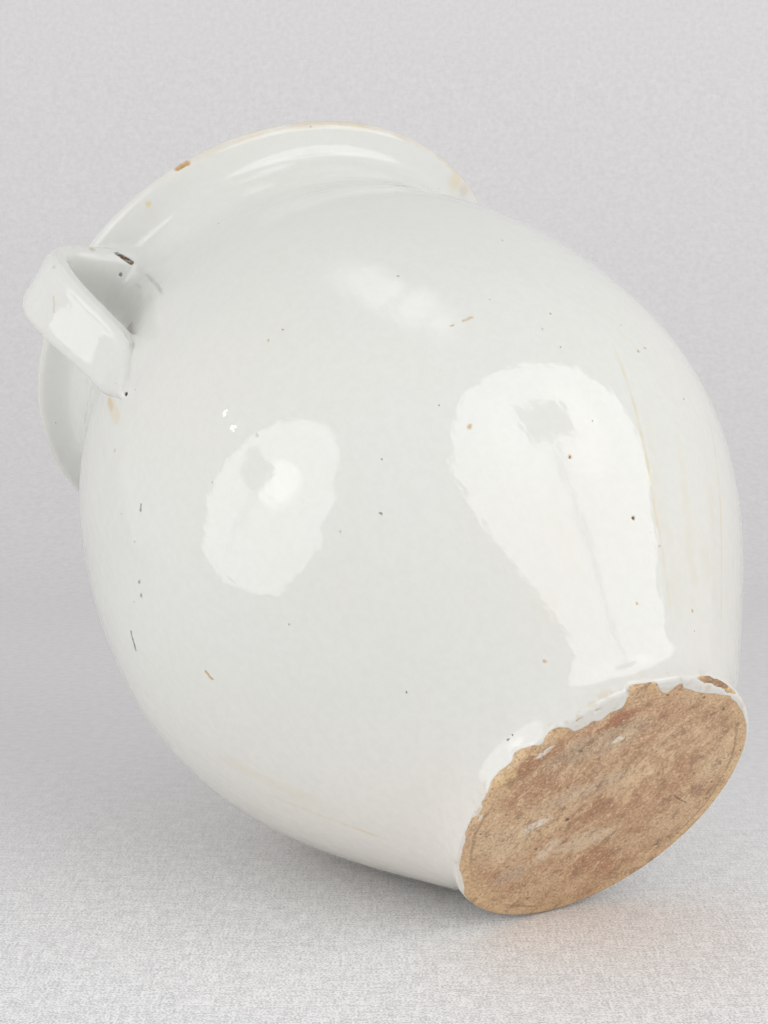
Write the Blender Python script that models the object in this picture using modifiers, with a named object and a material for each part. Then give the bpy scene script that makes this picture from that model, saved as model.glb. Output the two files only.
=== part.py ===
"""Two-handled confit pot: a wheel-thrown earthenware body, two pulled strap handles luted
to its rim and shoulder, and the fused skins of white tin glaze that seal them.

Metres, +Z up. The origin is the centre of the unglazed base, and the handles lie on the X axis.
"""

import math

import bmesh
import bpy
from mathutils import Vector
from mathutils.geometry import interpolate_bezier

# Thrown body, measured on the bare clay
FOOT_RADIUS = 0.0592
FOOT_BAND_HEIGHT = 0.009
FOOT_EDGE_WEAR = 0.0008
BELLY_RADIUS = 0.1297
BELLY_HEIGHT = 0.146
NECK_RADIUS = 0.1018
NECK_HEIGHT = 0.266
RIM_RADIUS = 0.1143
RIM_HEIGHT = 0.2905
LIP_THICKNESS = 0.0055
WALL_THICKNESS = 0.007
FLOOR_THICKNESS = 0.012
FLOOR_FILLET = 0.020

# Shape of the curves between those stations: angles from the axis, pulls as shares of the rise
FOOT_FLARE_DEG = 38.0
RIM_FLARE_DEG = 66.0
FOOT_PULL = 0.45
BELLY_PULL_DOWN = 0.38
BELLY_PULL_UP = 0.61
NECK_PULL_DOWN = 0.18
RIM_PULL = 0.58

# Strap handles, measured on their centre line
HANDLE_PROJECTION = 0.0210
HANDLE_TOP_DROP = 0.0135
HANDLE_BOW_DROP = 0.0275
HANDLE_SEAT_HEIGHT = 0.214
HANDLE_TAIL_HEIGHT = 0.196
HANDLE_ROOT_DEPTH = 0.0200
HANDLE_TAIL_DEPTH = 0.0025
HANDLE_ARCH_LEAN_DEG = 78.0
HANDLE_ARCH_PULL = 0.0268
HANDLE_BOW_PULL = 0.016
HANDLE_DROP_PULL = 0.018
STRAP_ROOT_WIDTH = 0.050
STRAP_BOW_WIDTH = 0.0262
STRAP_SEAT_WIDTH = 0.0225
STRAP_TAIL_WIDTH = 0.010
STRAP_ROOT_THICKNESS = 0.019
STRAP_THICKNESS = 0.0088
STRAP_TAIL_THICKNESS = 0.005
STRAP_SQUARENESS = 2.6

# Tin glaze and the luted joints
GLAZE_THICKNESS = 0.0006
JOINT_GAP = 0.0003
GLAZE_EDGE_HEIGHT = 0.0011
# Flakes lost from the glaze's lower edge: azimuth in degrees, width in degrees, height in metres
GLAZE_FLAKES = (
    (157.0, 24.0, 0.0012),
    (187.0, 38.0, 0.0026),
    (212.0, 22.0, 0.0013),
    (242.0, 20.0, 0.0012),
    (273.0, 26.0, 0.0022),
    (62.0, 30.0, 0.0014),
)

# Facets
TURN_STEPS = 48
WALL_POINTS = 6
RIM_POINTS = 4
LIP_POINTS = 4
FILLET_POINTS = 3
ARCH_POINTS = 8
DROP_POINTS = 6
TAIL_POINTS = 3
SECTION_POINTS = 12
AXIS_MERGE = 0.00001

CLAY_COLOUR = (0.44, 0.25, 0.14, 1.0)
GLAZE_COLOUR = (0.76, 0.76, 0.73, 1.0)


def clear_scene():
    for obj in list(bpy.data.objects):
        bpy.data.objects.remove(obj)


def new_collection(name):
    collection = bpy.data.collections.new(name)
    bpy.context.scene.collection.children.link(collection)
    return collection


def new_material(name, colour, roughness):
    material = bpy.data.materials.new(name)
    material.use_nodes = True
    shader = material.node_tree.nodes["Principled BSDF"]
    shader.inputs["Base Color"].default_value = colour
    shader.inputs["Roughness"].default_value = roughness
    shader.inputs["Metallic"].default_value = 0.0
    return material


# Profiles: lists of Vector((radius, height))

def curve(start, start_pull, end_pull, end, count):
    """Points of a cubic curve, the first one left out so that runs can be joined end to end."""
    points = interpolate_bezier(start, start + start_pull, end + end_pull, end, count + 1)
    return [Vector(point[:2]) for point in points[1:]]


def lip_centre():
    return Vector((RIM_RADIUS - LIP_THICKNESS / 2, RIM_HEIGHT - LIP_THICKNESS / 2))


def on_lip(angle_deg):
    angle = math.radians(angle_deg)
    return lip_centre() + Vector((math.cos(angle), math.sin(angle))) * (LIP_THICKNESS / 2)


def lean(angle_deg):
    """Unit vector that leans out from the axis by this angle."""
    angle = math.radians(angle_deg)
    return Vector((math.sin(angle), math.cos(angle)))


def lower_wall():
    """Outside of the wall from the top of the foot band to the belly."""
    foot = Vector((FOOT_RADIUS, FOOT_BAND_HEIGHT))
    belly = Vector((BELLY_RADIUS, BELLY_HEIGHT))
    rise = BELLY_HEIGHT - FOOT_BAND_HEIGHT
    return [foot] + curve(
        foot,
        lean(FOOT_FLARE_DEG) * rise * FOOT_PULL,
        Vector((0.0, -rise * BELLY_PULL_DOWN)),
        belly,
        WALL_POINTS,
    )


def upper_wall():
    """Outside of the wall from above the belly, over the shoulder and neck, to the lip."""
    belly = Vector((BELLY_RADIUS, BELLY_HEIGHT))
    neck = Vector((NECK_RADIUS, NECK_HEIGHT))
    rise = NECK_HEIGHT - BELLY_HEIGHT
    shoulder = curve(
        belly,
        Vector((0.0, rise * BELLY_PULL_UP)),
        Vector((0.0, -rise * NECK_PULL_DOWN)),
        neck,
        WALL_POINTS,
    )
    lip = on_lip(-RIM_FLARE_DEG)
    pull = (lip - neck).length * RIM_PULL
    flare = curve(neck, Vector((0.0, pull)), -lean(RIM_FLARE_DEG) * pull, lip, RIM_POINTS)
    return shoulder + flare


def offset(points, distance):
    """The line moved to its left, which is towards the axis on a line that climbs the outside."""
    moved = []
    for i, point in enumerate(points):
        before = points[max(i - 1, 0)]
        after = points[min(i + 1, len(points) - 1)]
        along = (after - before).normalized()
        moved.append(point + Vector((-along.y, along.x)) * distance)
    return moved


def outside():
    """Clay outside from the top of the foot band to the start of the lip."""
    return lower_wall() + upper_wall()


def over_lip():
    """Round of the lip, between the outside and the inside."""
    start = -RIM_FLARE_DEG
    sweep = 180.0
    steps = LIP_POINTS + 1
    return [on_lip(start + sweep * i / steps) for i in range(1, steps + 1)]


def inside():
    """Clay inside, from below the lip to the middle of the floor."""
    wall = offset(outside(), WALL_THICKNESS)[:-2]
    wall.reverse()
    floor_start = FLOOR_THICKNESS + FLOOR_FILLET
    wall = [point for point in wall if point.y > floor_start]
    corner = wall[-1]
    middle = Vector((0.0, FLOOR_THICKNESS))
    floor_edge = Vector((corner.x - 1.6 * FLOOR_FILLET, FLOOR_THICKNESS))
    down = (wall[-1] - wall[-2]).normalized()
    fillet = curve(
        corner,
        down * FLOOR_FILLET * 0.6,
        Vector((FLOOR_FILLET * 0.6, 0.0)),
        floor_edge,
        FILLET_POINTS,
    )
    return wall + fillet + [middle]


def outer_radius(height):
    """Radius of the clay outside at a height between the belly and the lip."""
    wall = upper_wall()
    for low, high in zip(wall, wall[1:]):
        if low.y <= height <= high.y:
            share = (height - low.y) / (high.y - low.y)
            return low.x + (high.x - low.x) * share
    raise ValueError(f"no wall at {height}")


# Solids

def add_mesh_object(name, points, edges, faces, collection):
    mesh = bpy.data.meshes.new(name)
    mesh.from_pydata(points, edges, faces)
    obj = bpy.data.objects.new(name, mesh)
    collection.objects.link(obj)
    return obj


def as_mesh(obj):
    """The object's mesh with its modifiers applied, caps and seams welded."""
    graph = bpy.context.evaluated_depsgraph_get()
    mesh = bpy.data.meshes.new_from_object(obj.evaluated_get(graph))
    work = bmesh.new()
    work.from_mesh(mesh)
    bmesh.ops.remove_doubles(work, verts=work.verts, dist=AXIS_MERGE)
    work.to_mesh(mesh)
    work.free()
    obj.modifiers.clear()
    obj.data = mesh
    return obj


def turned(name, profile, collection):
    """Solid of revolution from a profile that runs down its outer side."""
    points = [(point.x, 0.0, point.y) for point in profile]
    edges = [(i, i + 1) for i in range(len(points) - 1)]
    obj = add_mesh_object(name, points, edges, [], collection)
    screw = obj.modifiers.new("turn", "SCREW")
    screw.axis = "Z"
    screw.angle = math.tau
    screw.steps = TURN_STEPS
    screw.render_steps = TURN_STEPS
    screw.use_merge_vertices = True
    screw.merge_threshold = AXIS_MERGE
    return as_mesh(obj)


def cut(obj, cutter):
    boolean = obj.modifiers.new("cut", "BOOLEAN")
    boolean.operation = "DIFFERENCE"
    boolean.object = cutter
    return as_mesh(obj)


def finish(obj, material):
    obj.data.materials.clear()
    obj.data.materials.append(material)
    obj.data.shade_smooth()
    obj.data.set_sharp_from_angle(angle=math.radians(40.0))
    return obj


def hide(cutter):
    cutter.hide_render = True
    cutter.display_type = "WIRE"
    return cutter


def make_body(collection):
    foot = [
        Vector((FOOT_RADIUS, FOOT_EDGE_WEAR)),
        Vector((FOOT_RADIUS - FOOT_EDGE_WEAR, 0.0)),
        Vector((0.0, 0.0)),
    ]
    climb = outside() + over_lip() + inside()
    climb.reverse()
    return turned("clay_body", climb + foot, collection)


def glaze_edge(azimuth):
    """Height of the glaze's chipped lower edge at an azimuth in radians."""
    height = GLAZE_EDGE_HEIGHT
    for centre_deg, width_deg, depth in GLAZE_FLAKES:
        away = math.remainder(azimuth - math.radians(centre_deg), math.tau)
        share = abs(away) / math.radians(width_deg / 2)
        if share < 1.0:
            height += depth * math.cos(share * math.pi / 2)
    return min(height, FOOT_BAND_HEIGHT - JOINT_GAP)


def make_body_glaze(collection):
    """Skin over the outside, the lip and the inside, with a chipped edge round the foot band."""
    edge = Vector((FOOT_RADIUS, GLAZE_EDGE_HEIGHT))
    covered = [edge] + outside() + over_lip() + inside()
    against_clay = offset(covered, -JOINT_GAP)
    surface = offset(covered, -JOINT_GAP - GLAZE_THICKNESS)
    for line in (against_clay, surface):
        line[0].y = GLAZE_EDGE_HEIGHT
        line[-1].x = 0.0
    glaze = turned("body_glaze", surface[::-1] + against_clay, collection)
    for vertex in glaze.data.vertices:
        at_edge = vertex.co.z < GLAZE_EDGE_HEIGHT + AXIS_MERGE
        if at_edge:
            vertex.co.z = glaze_edge(math.atan2(vertex.co.y, vertex.co.x))
    return glaze


def strap_line():
    """Stations from rim to tail: the centre line, and the strap's width and thickness on it."""
    root = Vector((RIM_RADIUS - HANDLE_ROOT_DEPTH, RIM_HEIGHT - HANDLE_TOP_DROP))
    bow = Vector((RIM_RADIUS + HANDLE_PROJECTION, RIM_HEIGHT - HANDLE_BOW_DROP))
    seat = Vector((outer_radius(HANDLE_SEAT_HEIGHT), HANDLE_SEAT_HEIGHT))
    tail = Vector((outer_radius(HANDLE_TAIL_HEIGHT) - HANDLE_TAIL_DEPTH, HANDLE_TAIL_HEIGHT))
    down = Vector((0.0, -1.0))
    towards_tail = (tail - seat).normalized()
    arch = curve(
        root,
        lean(HANDLE_ARCH_LEAN_DEG) * HANDLE_ARCH_PULL,
        -down * HANDLE_BOW_PULL,
        bow,
        ARCH_POINTS,
    )
    drop = curve(
        bow,
        down * HANDLE_DROP_PULL,
        -(towards_tail + (seat - bow).normalized()) * HANDLE_DROP_PULL / 2,
        seat,
        DROP_POINTS,
    )
    run = [seat.lerp(tail, (i + 1) / TAIL_POINTS) for i in range(TAIL_POINTS)]
    widths = (
        [STRAP_ROOT_WIDTH]
        + taper(STRAP_ROOT_WIDTH, STRAP_BOW_WIDTH, ARCH_POINTS, 3)
        + taper(STRAP_BOW_WIDTH, STRAP_SEAT_WIDTH, DROP_POINTS, 1)
        + taper(STRAP_SEAT_WIDTH, STRAP_TAIL_WIDTH, TAIL_POINTS, 1)
    )
    thicknesses = (
        [STRAP_ROOT_THICKNESS]
        + taper(STRAP_ROOT_THICKNESS, STRAP_THICKNESS, ARCH_POINTS, 3)
        + [STRAP_THICKNESS] * DROP_POINTS
        + taper(STRAP_THICKNESS, STRAP_TAIL_THICKNESS, TAIL_POINTS, 1)
    )
    return [root] + arch + drop + run, widths, thicknesses


def taper(first, last, count, power):
    """Values from after first to last; a power above 1 makes the change early."""
    return [last + (first - last) * (1 - (i + 1) / count) ** power for i in range(count)]


def strap_section(width, thickness):
    """Flattened oval, square enough to read as a strap."""
    section = []
    power = 2.0 / STRAP_SQUARENESS
    for i in range(SECTION_POINTS):
        angle = math.tau * i / SECTION_POINTS
        across = math.copysign(abs(math.cos(angle)) ** power, math.cos(angle)) * width / 2
        through = math.copysign(abs(math.sin(angle)) ** power, math.sin(angle)) * thickness / 2
        section.append((across, through))
    return section


def make_strap(name, grow, collection):
    """Loft of the strap's sections along its centre line, grown by a clearance on every side."""
    line, widths, thicknesses = strap_line()
    points = []
    for i, (centre, width, thickness) in enumerate(zip(line, widths, thicknesses)):
        before = line[max(i - 1, 0)]
        after = line[min(i + 1, len(line) - 1)]
        along = (after - before).normalized()
        out = Vector((-along.y, along.x))
        for across, through in strap_section(width + 2 * grow, thickness + 2 * grow):
            place = centre + out * through
            points.append((place.x, across, place.y))
    faces = []
    for ring in range(len(line) - 1):
        for i in range(SECTION_POINTS):
            j = (i + 1) % SECTION_POINTS
            low = ring * SECTION_POINTS
            high = low + SECTION_POINTS
            faces.append((low + i, low + j, high + j, high + i))
    faces.append(tuple(reversed(range(SECTION_POINTS))))
    faces.append(tuple(range(len(points) - SECTION_POINTS, len(points))))
    obj = add_mesh_object(name, points, [], faces, collection)
    work = bmesh.new()
    work.from_mesh(obj.data)
    bmesh.ops.recalc_face_normals(work, faces=work.faces)
    work.to_mesh(obj.data)
    work.free()
    return obj


def make_seat(name, depth, collection):
    """Everything deeper than this below the clay's outside: it trims what comes in from there."""
    skin = offset(outside() + over_lip(), depth)
    top = Vector((0.0, skin[-1].y))
    bottom = Vector((0.0, skin[0].y))
    return hide(turned(name, [top] + skin[::-1] + [bottom], collection))


def turned_copy(obj, name, collection):
    """The same piece on the other side of the pot, half a turn about the axis."""
    copy = bpy.data.objects.new(name, obj.data)
    copy.rotation_euler.z = math.pi
    collection.objects.link(copy)
    return copy


def main():
    clear_scene()
    parts = new_collection("confit_pot")
    cutters = new_collection("cutters")
    clay = new_material("bare_earthenware", CLAY_COLOUR, 0.85)
    white = new_material("tin_glaze", GLAZE_COLOUR, 0.12)

    finish(make_body(parts), clay)
    seat = make_seat("seat_cutter", -JOINT_GAP, cutters)
    within_wall = make_seat("within_wall_cutter", min(WALL_THICKNESS, LIP_THICKNESS) * 0.4, cutters)

    handle = cut(make_strap("handle_right", 0.0, parts), seat)
    finish(handle, clay)
    turned_copy(handle, "handle_left", parts)

    core = hide(make_strap("strap_core_cutter", JOINT_GAP, cutters))
    handle_glaze = make_strap("handle_right_glaze", JOINT_GAP + GLAZE_THICKNESS, parts)
    cut(cut(handle_glaze, seat), core)
    finish(handle_glaze, white)
    turned_copy(handle_glaze, "handle_left_glaze", parts)

    window = hide(make_strap("window_cutter", GLAZE_THICKNESS + 2 * JOINT_GAP, cutters))
    cut(window, within_wall)
    body_glaze = make_body_glaze(parts)
    for side in (window, hide(turned_copy(window, "window_cutter_left", cutters))):
        cut(body_glaze, side)
    finish(body_glaze, white)


main()
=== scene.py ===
"""Looks of the two-handled confit pot: bare clay, chipped tin glaze and strap handles."""

import math

import bmesh
import bpy
import numpy as np
from mathutils import Matrix, Vector, noise


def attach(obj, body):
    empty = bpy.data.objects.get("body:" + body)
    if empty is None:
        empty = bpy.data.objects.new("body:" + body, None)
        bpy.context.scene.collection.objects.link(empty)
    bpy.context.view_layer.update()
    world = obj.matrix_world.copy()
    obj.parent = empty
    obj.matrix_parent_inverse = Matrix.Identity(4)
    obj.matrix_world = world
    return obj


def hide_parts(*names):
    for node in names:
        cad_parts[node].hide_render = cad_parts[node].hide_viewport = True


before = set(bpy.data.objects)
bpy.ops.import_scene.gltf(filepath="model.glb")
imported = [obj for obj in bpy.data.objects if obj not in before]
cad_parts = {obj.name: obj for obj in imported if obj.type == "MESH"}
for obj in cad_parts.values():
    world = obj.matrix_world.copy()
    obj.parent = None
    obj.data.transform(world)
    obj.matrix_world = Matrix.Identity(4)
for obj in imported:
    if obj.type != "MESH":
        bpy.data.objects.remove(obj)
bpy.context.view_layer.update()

MM = 0.001
P = np.array

# Sizes of the solids, in millimetres, with angles from the axis in degrees
FOOT_R, BAND_H, FOOT_WEAR = 59.2, 9.0, 0.8
BELLY_R, BELLY_H = 129.7, 146.0
NECK_R, NECK_H = 101.8, 266.0
RIM_R, RIM_H, LIP = 114.3, 290.5, 5.5
FOOT_FLARE, RIM_FLARE = 38.0, 66.0
WALL, FLOOR, FILLET = 7.0, 12.0, 20.0
SKIN = 0.9
# Pulls of the curves between those sizes, as shares of the rise
FOOT_PULL, BELLY_PULL_DOWN, BELLY_PULL_UP = 0.45, 0.38, 0.61
NECK_PULL, RIM_PULL, FILLET_PULL = 0.18, 0.58, 0.6
# The eased corner over the foot band: its ends and its pull, and how far in the glaze may reach
CORNER_LOW, CORNER_HIGH, CORNER_PULL = 3.5, 19.0, 7.0
GLAZE_IN_R = 44.0
# The glaze at its edge: how thin it gets, and how far its end is sunk in the clay
EDGE_SKIN, EDGE_SUNK = 0.30, 0.30

# Strap handles: stations of the centre line, and the pulls of its curves
ROOT_IN, ROOT_DROP = 20.0, 13.5
BOW_OUT, BOW_DROP = 21.0, 27.5
SEAT_H, TAIL_H, TAIL_SUNK = 214.0, 194.5, 0.4
ARCH_LEAN, ARCH_PULL, BOW_PULL, DROP_PULL, SEAT_PULL = 78.0, 26.8, 16.0, 18.0, 9.0
# Widths and thicknesses at root, bow, seat, tail and the end inside the wall
STRAP_WIDTHS = (50.0, 26.2, 22.5, 3.0, 2.0)
STRAP_THICKS = (19.0, 8.8, 8.8, 5.0, 3.5)
WIDTH_POWERS, THICK_POWERS = (3, 1, 0.9, 1), (3, 1, 1, 1)
STRAP_SQUARE, FACE_SQUARE, TROUGH = 2.6, 3.4, 0.55
# Fillets of the straps: reach up the strap and spread over the wall, and what the smear adds
ROOT_REACH, ROOT_SPREAD, ROOT_NARROWS = 5.0, 5.5, 3.0
TAIL_REACH, TAIL_SPREAD = 3.0, 0.7
SMEAR_REACH, SMEAR_SPREAD = 7.0, 9.0
# Points inside the wall on which the ends of a strap close
ROOT_END, TAIL_END = (97.5, 0.0, 278.0), (121.5, 0.0, 194.5)

# Facets
BODY_COLUMNS, FOOT_COLUMNS, CLAY_COLUMNS = 216, 864, 192
FOOT_ROWS, BASE_RINGS = 36, 74
STRAP_SIDES, STRAP_RINGS = 64, 81

# Way up from the linen that the pot lies on
FLOOR_UP = (-0.2676, -0.7904, 0.5515)


def cos_sin(deg):
    return math.cos(math.radians(deg)), math.sin(math.radians(deg))


def lean(deg):
    """Unit vector in (radius, height) that leans out from the axis by this angle."""
    return P(cos_sin(deg)[::-1])


def unit(vectors):
    """The vector, or each row of vectors, brought to length 1."""
    return vectors / np.linalg.norm(vectors, axis=-1, keepdims=True)


def bezier(a, b, c, d, count):
    t = np.linspace(0.0, 1.0, count + 1)[:, None]
    s = 1.0 - t
    return s**3 * a + 3 * s * s * t * b + 3 * s * t * t * c + t**3 * d


def smooth(value, low, high):
    t = np.clip((np.asarray(value, float) - low) / (high - low), 0.0, 1.0)
    return t * t * (3.0 - 2.0 * t)


def left_of(line):
    """Unit normals to the left of a line of (radius, height) points."""
    along = unit(np.gradient(line, axis=0))
    return np.stack([-along[:, 1], along[:, 0]], axis=1)


def run_of(line):
    """Length of the line up to each of its points."""
    return np.concatenate([[0.0], np.cumsum(np.linalg.norm(np.diff(line, axis=0), axis=1))])


def even(line, step):
    """The line resampled at an even spacing."""
    run = run_of(line)
    marks = np.linspace(0.0, run[-1], max(2, int(round(run[-1] / step)) + 1))
    return np.stack([np.interp(marks, run, line[:, k]) for k in (0, 1)], axis=1)


def fractal(x, y, z, octaves=3):
    return noise.fractal(Vector((x, y, z)), 0.9, 2.0, octaves)


# Outline of the clay, in (radius, height)

foot_top = P([FOOT_R, BAND_H])
belly = P([BELLY_R, BELLY_H])
neck = P([NECK_R, NECK_H])
lower_rise = BELLY_H - BAND_H
upper_rise = NECK_H - BELLY_H
lower = bezier(
    foot_top, foot_top + lean(FOOT_FLARE) * lower_rise * FOOT_PULL,
    belly - P([0.0, lower_rise * BELLY_PULL_DOWN]), belly, 120,
)
upper = bezier(
    belly, belly + P([0.0, upper_rise * BELLY_PULL_UP]),
    neck - P([0.0, upper_rise * NECK_PULL]), neck, 120,
)
lip_mid = P([RIM_R - LIP / 2, RIM_H - LIP / 2])


def on_lip(deg):
    return lip_mid + P(cos_sin(deg)) * LIP / 2


flare_end = on_lip(-RIM_FLARE)
flare_pull = np.linalg.norm(flare_end - neck) * RIM_PULL
flare = bezier(
    neck, neck + P([0.0, flare_pull]),
    flare_end - lean(RIM_FLARE) * flare_pull, flare_end, 40,
)
lip = P([on_lip(a) for a in np.linspace(-RIM_FLARE, 180.0 - RIM_FLARE, 41)])
# The corner over the foot band is eased, as fingers and slip leave it
corner_end = int(np.argmax(lower[:, 1] > CORNER_HIGH))
corner_way = unit(lower[corner_end + 1] - lower[corner_end])
corner = bezier(
    P([FOOT_R, CORNER_LOW]), P([FOOT_R, BAND_H]),
    lower[corner_end] - corner_way * CORNER_PULL, lower[corner_end], 40,
)
wear = P(
    [
        P([FOOT_R - FOOT_WEAR, FOOT_WEAR]) + FOOT_WEAR * P([math.sin(a), -math.cos(a)])
        for a in np.linspace(0.0, math.pi / 2, 7)
    ]
)
base_face = P([[x, 0.0] for x in np.linspace(GLAZE_IN_R, FOOT_R - FOOT_WEAR, 30)])
band = P([[FOOT_R, y] for y in np.linspace(FOOT_WEAR, CORNER_LOW, 6)])
outside = np.concatenate([corner, lower[corner_end + 1 :], upper[1:], flare[1:]])
wall_line = np.concatenate([lower, upper[1:], flare[1:]])
wall_thick = np.full(len(wall_line), WALL)
wall_thick[-40:] = np.linspace(WALL, LIP, 40)
inner = (wall_line + left_of(wall_line) * wall_thick[:, None])[:-2][::-1]
inner = inner[inner[:, 1] > FLOOR + FILLET]
inner_down = unit(inner[-1] - inner[-2])
floor_edge = P([inner[-1][0] - 1.6 * FILLET, FLOOR])
inner_fillet = bezier(
    inner[-1], inner[-1] + inner_down * FILLET * FILLET_PULL,
    floor_edge + P([FILLET * FILLET_PULL, 0.0]), floor_edge, 24,
)
inner_floor = P([[x, FLOOR] for x in np.linspace(floor_edge[0], 0.0, 24)])
inside = np.concatenate([inner, inner_fillet[1:], inner_floor[1:]])

# Path of the glaze on the clay: in over the base, round the worn edge, up and over to the floor
foot_path = even(np.concatenate([base_face, wear[1:], band[1:], corner[1:]]), 0.25)
foot_run = np.arange(len(foot_path)) * np.linalg.norm(foot_path[1] - foot_path[0])
foot_run -= foot_run[int(np.argmin(np.abs(foot_path - P([FOOT_R, FOOT_WEAR])).sum(axis=1)))]
foot_out = -left_of(foot_path)
skin_line = np.concatenate([outside, lip[1:], inside])
skin_line = skin_line - left_of(skin_line) * SKIN
skin_line[-1, 0] = 0.0
outer_count = len(outside) + len(lip) - 1
skin_outer = skin_line[:outer_count]


def body_distance(points):
    """Signed distance in millimetres from the glaze's outside, and the way out of it."""
    points = np.asarray(points, float)
    radius = np.hypot(points[:, 0], points[:, 1])
    flat = np.stack([radius, points[:, 2]], axis=1)
    a = skin_outer[:-1]
    d = skin_outer[1:] - a
    w = flat[:, None, :] - a[None]
    t = np.clip((w * d).sum(axis=2) / (d * d).sum(axis=1), 0.0, 1.0)
    gap = w - t[:, :, None] * d
    far = np.linalg.norm(gap, axis=2)
    best = far.argmin(axis=1)
    rows = np.arange(len(points))
    normal = unit(np.stack([d[best, 1], -d[best, 0]], axis=1))
    sign = np.where((gap[rows, best] * normal).sum(axis=1) >= 0.0, 1.0, -1.0)
    radius = np.maximum(radius, 1e-9)
    out = np.stack(
        [normal[:, 0] * points[:, 0] / radius, normal[:, 0] * points[:, 1] / radius, normal[:, 1]],
        axis=1,
    )
    return sign * far[rows, best], out


# Meshes

def new_object(name, data):
    obj = bpy.data.objects.new(name, data)
    bpy.context.scene.collection.objects.link(obj)
    return obj


def new_piece(name, verts, faces, material):
    mesh = bpy.data.meshes.new(name)
    mesh.from_pydata((np.asarray(verts, float) * MM).tolist(), [], faces)
    mesh.validate()
    mesh.materials.append(material)
    mesh.shade_smooth()
    return new_object(name, mesh)


def ring_faces(low, high, count):
    faces = []
    for j in range(count):
        k = (j + 1) % count
        faces.append((low + j, low + k, high + k, high + j))
    return faces


def fan_faces(low, count, tip):
    return [(low + j, low + (j + 1) % count, tip) for j in range(count)]


def thrown(x, y, z):
    """Unevenness that the thrower's hands left, in millimetres; none under the straps."""
    rings = 0.06 * noise.noise(Vector((x * 0.004, y * 0.004, z * 0.16)))
    dents = 0.10 * noise.noise(Vector((x * 0.016, y * 0.016, z * 0.018)))
    strap = smooth(z, 172.0, 186.0) * (1.0 - smooth(abs(y), 34.0, 52.0))
    return float((rings + dents) * (1.0 - strap))


# Where the glaze ends at the foot: azimuth in degrees, and millimetres up from the worn edge of
# the clay, or in over the base where it is below zero
GLAZE_END = (
    (0, 0.4), (40, 1.2), (62, 1.9), (85, 0.5), (118, 0.2), (130, -2.2), (138, -1.9), (146, -1.5),
    (154.5, -1.8), (159, -0.4), (166, -0.2), (168, -1.9), (170.5, -2.0), (173, -0.3), (178, -0.1),
    (180, 1.2), (182, 1.8), (185, 1.4), (188.6, 0.7), (190.5, 0.9), (192, 2.3), (194.5, 1.8),
    (197, 0.9), (199.5, -0.2), (200.2, -1.8), (201.8, -1.7), (203, -0.2), (206, 0.4), (209, -0.2),
    (211.2, -3.5), (212.2, -7.9), (217, -8.4), (220, -7.6), (224, -9.4), (228, -7.9), (231, -8.4),
    (233.4, -7.4), (234.0, -3.8), (234.4, 0.7), (236.5, 1.0), (239, 0.2), (243.8, -0.3),
    (245.5, -1.2), (247.8, -4.6), (250, -6.7), (253, -6.4), (254.2, -4.2), (255.5, -3.1),
    (257.5, -3.0), (259, -4.6), (263.5, -6.0), (269.8, -6.4), (276, -5.4), (286, -3.1),
    (299, -2.2), (309, -1.5), (318, -1.0), (330, -0.2), (340, 0.9), (360, 0.4),
)

# Chips in the glaze near its edge: azimuths in degrees, and run along the foot in millimetres
CHIPS = ((262.5, 289.0, -2.3, 0.9), (214.0, 217.0, -3.2, -2.4), (221.0, 224.5, -3.6, -2.9))


def glaze_end(deg):
    """Where the glaze ends at an azimuth, with its ragged edge."""
    known = P(GLAZE_END, float)
    base = float(np.interp(deg % 360.0, known[:, 0], known[:, 1]))
    c, s = cos_sin(deg)
    ragged = fractal(c * 14.0, s * 14.0, 3.1, 4)
    fine = noise.noise(Vector((c * 55.0, s * 55.0, 1.7)))
    return base + 0.55 * ragged + 0.22 * fine


def chipped(deg, run):
    """How far the glaze has broken away here, from 0 to 1."""
    c, s = cos_sin(deg)
    waver = fractal(c * 11.0, s * 11.0, run * 0.3)
    share = 0.0
    for first, final, low, high in CHIPS:
        along = (deg - first) / (final - first)
        if not 0.0 < along < 1.0:
            continue
        middle, half = (low + high) / 2, (high - low) / 2
        ends = min(1.0, 5.0 * along, 5.0 * (1.0 - along))
        inside_by = half * ends * (1.0 + 0.5 * waver) - abs(run - middle)
        share = max(share, float(smooth(inside_by, -0.45, 0.45)))
    return share


def foot_point(run, deg, lift):
    """A point over the foot's clay, by its run along the glaze's path and its azimuth."""
    r = np.interp(run, foot_run, foot_path[:, 0])
    z = np.interp(run, foot_run, foot_path[:, 1])
    nr = np.interp(run, foot_run, foot_out[:, 0])
    nz = np.interp(run, foot_run, foot_out[:, 1])
    c, s = cos_sin(deg)
    return ((r + nr * lift) * c, (r + nr * lift) * s, z + nz * lift)


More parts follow.
